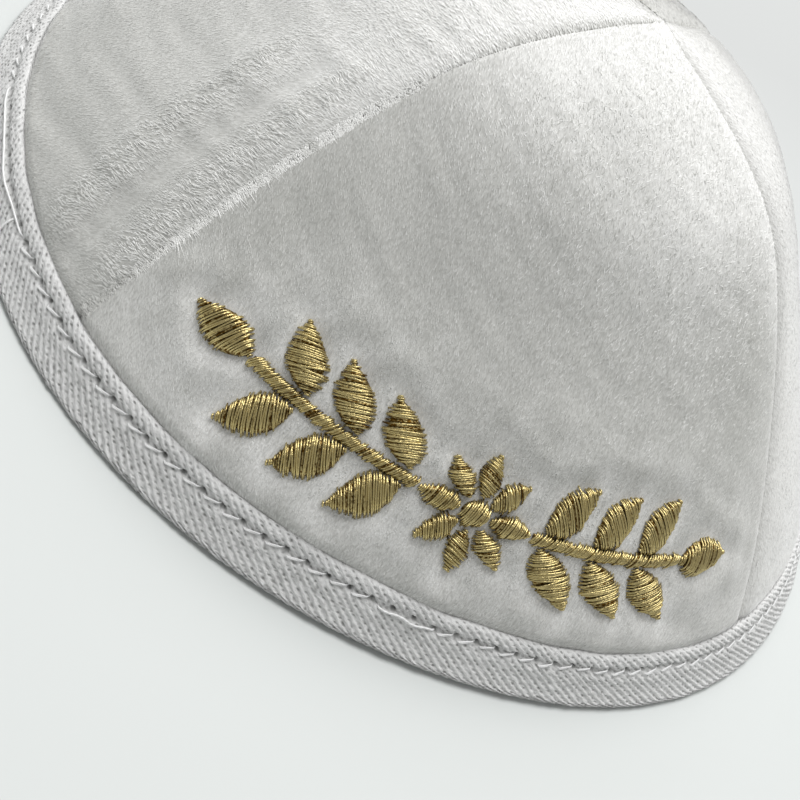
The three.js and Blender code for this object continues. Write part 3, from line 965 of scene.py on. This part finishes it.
def make_fringe(material):
    """Short fibres with painted light that stand over the front's left seam and lean across it on to the
    front panel.
    """
    draw = np.random.default_rng(71)
    count = FRINGE_FIBRES
    share = draw.uniform(FRINGE_START, FRINGE_END, count)
    length = share * MERIDIAN_LENGTH
    radius, first, last = panel_edges("front", length)
    strong = (0.1 + 0.9 * smooth_step((share - 0.07) / 0.1)) * smooth_step((FRINGE_END - share) / 0.24)
    tousled = ripple(length, 0.3 * length, 1.3, seed=72)
    strong = strong * (1 + 0.3 * ripple(length, length, 9, seed=73))
    across = draw.uniform(-FRINGE_HALF_WIDTH, FRINGE_HALF_WIDTH, count) / ((last - first) * radius)
    # Any depth above zero leaves out the roll into the seam, so the fibres bridge it
    flush = 1e-6
    base = panel_point("front", across, length, flush, FRINGE_LIFT)
    above = panel_point("front", across, length + 0.02, flush)
    right = unit(panel_point("front", across + 0.001, length, flush) - base)
    upward = unit(above - panel_point("front", across, length, flush))
    out = unit(np.cross(right, upward))
    turn = np.radians(FRINGE_TURN) + draw.normal(0, FRINGE_SPREAD, count) + 0.25 * tousled
    right = unit(np.cross(upward, out))
    flat = right * np.sin(turn)[:, None] + upward * np.cos(turn)[:, None]
    rise = np.clip(FRINGE_RISE + draw.normal(0, 0.12, count), 0.02, 1)
    uneven = 1 + draw.normal(0, FRINGE_SPREAD, count) + 0.2 * tousled
    reach = (FRINGE_REACH + FRINGE_LONGER * strong) * uneven
    width = FRINGE_WIDTH + TUFT_WIDER * draw.uniform(0, 1, count)
    keel = np.full(count, FRINGE_KEEL)
    shoulder = np.full(count, TUFT_SHOULDER)
    # Painted light: the fibres are lightened most where strong and above share 0.4, for their sheen against
    # the light.
    shade = FRINGE_PAINTED_LIGHT + 0.5 * strong + 0.15 * tousled + 0.6 * (share > 0.4) + draw.normal(0, 0.22, count)
    return make_spikes("seam_fringe", base, out, flat, rise, reach, width, keel, shoulder, shade, material)


def tape_section():
    """The folded tape's section as points (inwards from its outer face, height), from its outer top edge."""
    hem_inner = TAPE_INSET + PANEL_WALL + SEWN_CLEARANCE
    back = hem_inner + TAPE_THICKNESS
    top = EDGE_HEIGHT
    face = np.linspace(0.22, TAPE_WIDTH - 0.95 / math.sin(TAPE_SLOPE), 32)
    outer = [(0.42, top + 0.1), (0.12, top - 0.02)]
    outer += [(0, top - drop * math.sin(TAPE_SLOPE)) for drop in face]
    fold = [(-0.9, 0.6), (-0.55, 0.22), (0.1, 0.02), (0.8, 0.0)]
    fold += [(back - 0.9, 0.0), (back - 0.3, 0.2), (back, 0.8)]
    inner = [(back, h) for h in np.linspace(1.8, top - 2.2, 4)] + [(back - 0.3, top - 1.5)]
    pocket = [(hem_inner, top - 1.6), (hem_inner, TAPE_THICKNESS), (TAPE_THICKNESS, TAPE_THICKNESS)]
    mouth = [(TAPE_THICKNESS, top - 0.7), (0.8, top - 0.02)]
    return np.array(outer + fold + inner + pocket + mouth), len(outer)


def tape_swell(drop):
    """How far the tape's face stands out at a drop below its edge: lip, stitched valley, belly and bank."""
    lip = LIP_HEIGHT * bell((drop - LIP_DROP) / LIP_SPREAD)
    valley = VALLEY_DEPTH * bell((drop - LOCKSTITCH_DROP) / VALLEY_SPREAD)
    belly = TAPE_BELLY * np.clip(drop / (TAPE_WIDTH - 1), 0, 1) ** 1.6
    return lip - valley + belly + BANK_HEIGHT * bell((drop - BANK_DROP) / BANK_SPREAD)


def needle_pits(angle, drop):
    """How far each needle hole pulls the tape in, by distance from the holes along the stitched line."""
    along = (angle * STITCH_COUNT / (2 * math.pi)) % 1
    along = np.minimum(along, 1 - along) * LOCKSTITCH_PITCH
    across = drop - LOCKSTITCH_DROP + HOLE_ABOVE
    return HOLE_DEPTH * np.exp(-(across / HOLE_SPREAD[1]) ** 2 - (along / HOLE_SPREAD[0]) ** 2)


def tape_surface(angle, inwards, height, proud):
    """A place of the tape round the axis, standing out along the slope's normal, its edge a little wavy."""
    wobble = sum(size * np.sin(waves * angle + start) for size, waves, start in WOBBLES)
    fade = np.clip(height / EDGE_HEIGHT, 0, 1)
    inwards = inwards - proud + wobble * fade * 0.6
    radius = RIM_RADIUS - height / math.tan(TAPE_SLOPE) - inwards / math.sin(TAPE_SLOPE)
    return turned(radius, height + 0.5 * wobble * fade, angle, 0.0)


def make_tape(material):
    """The folded tape: its section carried round the rim on columns that lean with the twill's ribs."""
    section, outer_count = tape_section()
    columns = RIB_COLUMNS * RIBS
    length = run_lengths(section)
    leaning = outer_count + 5
    lean = RIB_LEAN * length / RIM_RADIUS
    back = np.linspace(1, 0, len(section) - leaning + 2)[1:-1]
    lean[leaning:] = lean[leaning - 1] * back
    angle = np.arange(columns)[None] * 2 * math.pi / columns + lean[:, None]
    phase = np.arange(columns) / RIB_COLUMNS * 2 * math.pi
    rib = RIB_HEIGHT * np.sqrt(np.clip(0.5 + 0.5 * np.cos(phase), 0, 1))[None] - RIB_HEIGHT / 2
    drop = (EDGE_HEIGHT - section[:, 1:]) / math.sin(TAPE_SLOPE)
    on_face = (np.arange(len(section)) < outer_count)[:, None]
    shows = (np.arange(len(section)) < outer_count + 2)[:, None] * np.clip(drop / 0.3 + 0.3, 0.3, 1)
    draw = np.random.default_rng(41)
    uneven = draw.normal(0, GRAIN_UNEVEN, angle.shape)
    uneven = uneven + draw.normal(0, RIB_UNEVEN, (len(section), RIBS)).repeat(RIB_COLUMNS, 1)
    holes = needle_pits(angle, drop) * on_face
    proud = (rib + uneven) * shows + tape_swell(drop) * on_face - holes
    points = tape_surface(angle, section[:, :1], section[:, 1:], proud)
    quads = grid_quads(len(section), columns, wrap_columns=True, wrap_rows=True)
    ribs_at = np.arange(columns)[None] / RIB_COLUMNS + 0 * length[:, None]
    uv = np.stack([ribs_at, length[:, None] / PIT_PITCH + 0 * angle], -1)
    # The shade attribute carries the needle holes' painted shade.
    piece = build_mesh("tape_edge", points, quads, uv=uv, shade=1 - np.clip(holes / 0.5, 0, 1) ** 1.5)
    return place(piece, "twill_tape", material, "rim_tape")


def stitches_at(degrees):
    """An angle round the tape counted in stitches."""
    return math.radians(degrees) * STITCH_COUNT / (2 * math.pi)


def stitch_paths(starts, span, drops, apart, arch, t):
    """Thread paths along the tape: from each start over a span of stitches and two drops, in a low arch."""
    angle = (starts[:, None] + t[None] * span) * 2 * math.pi / STITCH_COUNT
    arc = np.sin(np.pi * t)[None]
    drop = drops[0] + (drops[1] - drops[0]) * t[None] + apart * arc ** 0.5
    lift = tape_swell(drop) + THREAD_LIFT + arch * arc ** 0.6 - THREAD_DIVE * (1 - arc ** 0.2)
    height = EDGE_HEIGHT - drop * math.sin(TAPE_SLOPE)
    path = tape_surface(angle, 0 * height, height, lift)
    lower = tape_surface(angle, 0 * height, height - 0.1, lift)
    return path, unit(lower - path)


def stitched_tubes(name, paths, sideways, radius, t, material):
    """A piece of threads on the tape, with the run along each in millimetres and the turn round it as UV."""
    points, quads, triangles, _ = tubes(paths, sideways, radius)
    run = np.concatenate([np.repeat(t, THREAD_SIDES), [0, 1]]) * LOCKSTITCH_PITCH
    spin = np.concatenate([np.tile(np.arange(THREAD_SIDES) / THREAD_SIDES, len(t)), [0, 0]])
    uv = np.tile(np.stack([run + spin * 0.5, spin], 1), (len(paths), 1))
    piece = build_mesh(name, points, quads, triangles, uv=uv)
    return place(piece, "twill_tape", material)


def make_lockstitches(material):
    """Doubled stitches along the tape: each rises from under the last needle hole and slants to the next."""
    draw = np.random.default_rng(21)
    t = np.linspace(0, 1, 8)
    starts = np.arange(STITCH_COUNT) + LOCKSTITCH_START
    at = np.degrees((starts + 0.35) * 2 * math.pi / STITCH_COUNT)
    at = (at + 180) % 360 - 180
    for first, last in LONG_STITCHES:
        starts = starts[(at < first) | (at > last)]
        at = at[(at < first) | (at > last)]
    askew = draw.normal(0, LOCKSTITCH_ASKEW, (len(starts), 1))
    drops = [LOCKSTITCH_DROP + shift + askew for shift in LOCKSTITCH_SLANT]
    strands = [stitch_paths(starts, LOCKSTITCH_SPAN, drops, strand * LOCKSTITCH_RADIUS, 0.03, t)
               for strand in (-0.5, 0.5)]
    paths, sideways = (np.concatenate(parts) for parts in zip(*strands))
    radius = np.full(paths.shape[:2], LOCKSTITCH_RADIUS) * (0.65 + 0.35 * np.sin(np.pi * t) ** 0.5)[None]
    return stitched_tubes("tape_stitches", paths, sideways, radius, t, material)


def make_long_threads(material):
    """Stitches that skip some needle holes, and one thread end, loose and a little curved on the tape."""
    t = np.linspace(0, 1, 49)

    def loose(name, start, span, drops, apart, arch, thick):
        path, side = stitch_paths(np.array([stitches_at(start)]), stitches_at(span), drops, apart, arch, t)
        radius = np.full(path.shape[:2], LOCKSTITCH_RADIUS * thick)
        stitched_tubes(name, path, side, radius, t, material)

    stray = 0.16 * np.sin(3.3 * np.pi * t + 1)[None] * np.sin(np.pi * t)[None]
    drops = LOCKSTITCH_DROP + 0.3 + stray, LOCKSTITCH_DROP + 0.1 + stray
    for number, (first, last) in enumerate(LONG_STITCHES):
        loose(f"tape_long_stitch_{number + 1}", first, last - first, drops, 0.0, 0.22, 1.3)
    loose("tape_thread_end", THREAD_END_AT, THREAD_END_SPAN, THREAD_END_DROPS, 0.25, 0.25, 1.4)


def garland_place(along, rise, lift):
    """A point over the front panel at millimetres along the garland, above the tape and off the cloth."""
    _, first, last = panel_edges("front", rise)
    across = (GARLAND_MIDDLE + along / BAND_RADIUS - first) / (last - first)
    return panel_point("front", across, rise, 0.0, lift + embroidery_pull(across, rise))


def motif_frame(root, direction, a, b):
    """Garland coordinates of a place a along and b beside a motif's axis."""
    along = root[0] + a * math.cos(direction) - b * math.sin(direction)
    rise = GARLAND_RISE + root[1] + a * math.sin(direction) + b * math.cos(direction)
    return along, rise


def make_pad(motif, material):
    """A motif's padding under the satin: a low closed dome inside its outline."""
    name, kind, root, direction, length, width = motif
    a = length * crowded(22, 0.6)[:, None]
    beside = np.linspace(-1, 1, 9)[None]
    half = np.maximum(half_width(kind, a / length, width) - PAD_INSET, 0.02)
    b = half * beside
    a, b = np.broadcast_arrays(a, b)
    along, rise = motif_frame(root, direction, a, b)
    bulge = np.sqrt(np.clip(1 - beside ** 2, 0, 1)) * np.clip(half / 1.2, 0, 1)
    outer = garland_place(along, rise, -PAD_EDGE + (THREAD_PILE - PAD_COVER) * bulge)
    inner = garland_place(along, rise, -PAD_UNDERSIDE + 0 * bulge * a)
    points, quads = closed_sheet(outer, inner)
    # The pads get a near-black painted shade, so the gaps between satin threads look shadowed.
    piece = build_mesh(f"pad_{name}", points, quads, shade=np.full(len(points), 0.05))
    return place(piece, "gold_thread", material, name)


def make_satin(material):
    """The satin threads of every motif: rows of slanted arches from edge to edge, with ragged ends."""
    draw = np.random.default_rng(31)
    t = np.linspace(-1, 1, 8)
    paths, sideways, shades = [], [], []
    for _, kind, root, direction, length, width in MOTIFS:
        count = max(3, round(length / SATIN_PITCH))
        middle = (np.arange(count) + 0.5) / count * length
        middle = middle + draw.normal(0, SATIN_STRAY, count)
        half = half_width(kind, middle / length, width) + SATIN_OVERLAP + draw.normal(0, SATIN_RAGGED, count)
        half = np.maximum(half, 0.35)
        b = half[:, None] * t[None]
        slant = (STEM_SLANT if kind == "stem" else SATIN_SLANT) + draw.normal(0, SATIN_TILT, (count, 1))
        a = middle[:, None] + slant * b + draw.normal(0, SATIN_BEND, (count, 1)) * t ** 2
        inside = np.clip(a, -0.15, length + 0.15)
        along, rise = motif_frame(root, direction, inside, b)
        dome = np.clip(1 - np.abs(t[None]) ** 2.1, 0, 1) ** 0.55
        tall = THREAD_PILE * np.clip(half / 1.6, 0.45, 1.12)[:, None]
        lift = -THREAD_SINK + (tall + 0.1) * dome + draw.normal(0, SATIN_BOUNCE, (count, 1))
        path = garland_place(along, rise, lift)
        aside = garland_place(along + 0.1 * math.cos(direction), rise + 0.1 * math.sin(direction), lift)
        paths.append(path)
        sideways.append(unit(aside - path))
        shades.append(np.clip(draw.normal(0.5, 0.25, count), 0.02, 1))
    paths, sideways, shades = (np.concatenate(x) for x in (paths, sideways, shades))
    radius = np.full(paths.shape[:2], SATIN_RADIUS) * (0.75 + 0.25 * np.sqrt(1 - t ** 2))[None]
    points, quads, triangles, per_tube = tubes(paths, sideways, radius, SATIN_FLATTEN)
    piece = build_mesh("satin_threads", points, quads, triangles, shade=np.repeat(shades, per_tube))
    return place(piece, "gold_thread", material)


def make_floor(material):
    """The plain pale slab that the cap lies on."""
    corners = np.array([(-1, -1), (1, -1), (1, 1), (-1, 1)]) * FLOOR_HALF
    points = [(x, y, z) for z in (-FLOOR_THICKNESS, -FLOOR_GAP) for x, y in corners]
    quads = [[0, 3, 2, 1], [4, 5, 6, 7], [0, 1, 5, 4], [1, 2, 6, 5], [2, 3, 7, 6], [3, 0, 4, 7]]
    floor = build_mesh("floor", points, quads, smooth=False)
    floor.data.materials.append(material)


def light_scene():
    """Soft studio light: a broad window behind and to the right, and an even white surround."""
    world = bpy.data.worlds.new("surround")
    world.use_nodes = True
    background = world.node_tree.nodes["Background"]
    background.inputs["Color"].default_value = (1, 1, 1, 1)
    background.inputs["Strength"].default_value = SURROUND_STRENGTH
    bpy.context.scene.world = world
    bpy.context.scene.view_settings.view_transform = "Standard"
    window = bpy.data.lights.new("window", "AREA")
    window.size = WINDOW_SIZE * MM
    window.energy = WINDOW_POWER
    lamp = bpy.data.objects.new("window", window)
    lamp.location = Vector(WINDOW_PLACE) * MM
    lamp.rotation_euler = (Vector(WINDOW_AIM) - Vector(WINDOW_PLACE)).to_track_quat("-Z", "Y").to_euler()
    bpy.context.scene.collection.objects.link(lamp)


def make_camera():
    """The photograph's camera: its lens from the focal length in pixels, turned about its axis."""
    back = Vector((
        math.sin(CAMERA_AZIMUTH) * math.cos(CAMERA_ELEVATION),
        -math.cos(CAMERA_AZIMUTH) * math.cos(CAMERA_ELEVATION),
        math.sin(CAMERA_ELEVATION),
    ))
    level = Vector((0, 0, 1)).cross(back).normalized()
    upright = back.cross(level)
    right = level * math.cos(CAMERA_ROLL) + upright * math.sin(CAMERA_ROLL)
    up = upright * math.cos(CAMERA_ROLL) - level * math.sin(CAMERA_ROLL)
    turn = Matrix((right, up, back)).transposed().to_4x4()
    lens = bpy.data.cameras.new("camera")
    lens.sensor_width = SENSOR_MM
    lens.lens = CAMERA_FOCAL_PX / IMAGE_PX * SENSOR_MM
    lens.clip_start = 0.005
    camera = bpy.data.objects.new("camera", lens)
    camera.matrix_world = Matrix.Translation((Vector(CAMERA_TARGET) + back * CAMERA_DISTANCE) * MM) @ turn
    bpy.context.scene.collection.objects.link(camera)
    bpy.context.scene.camera = camera


make_camera()
light_scene()
make_floor(floor_material())
velvet = velvet_material()
pile = pile_material()
tape_cloth = tape_material()
white_thread = sewing_thread_material()
gold = gold_material()
for panel_name in PANELS:
    make_panel(panel_name, velvet)
    make_pile(panel_name, pile)
make_fringe(pile)
make_tape(tape_cloth)
make_lockstitches(white_thread)
make_long_threads(white_thread)
for garland_motif in MOTIFS:
    make_pad(garland_motif, gold)
make_satin(gold)
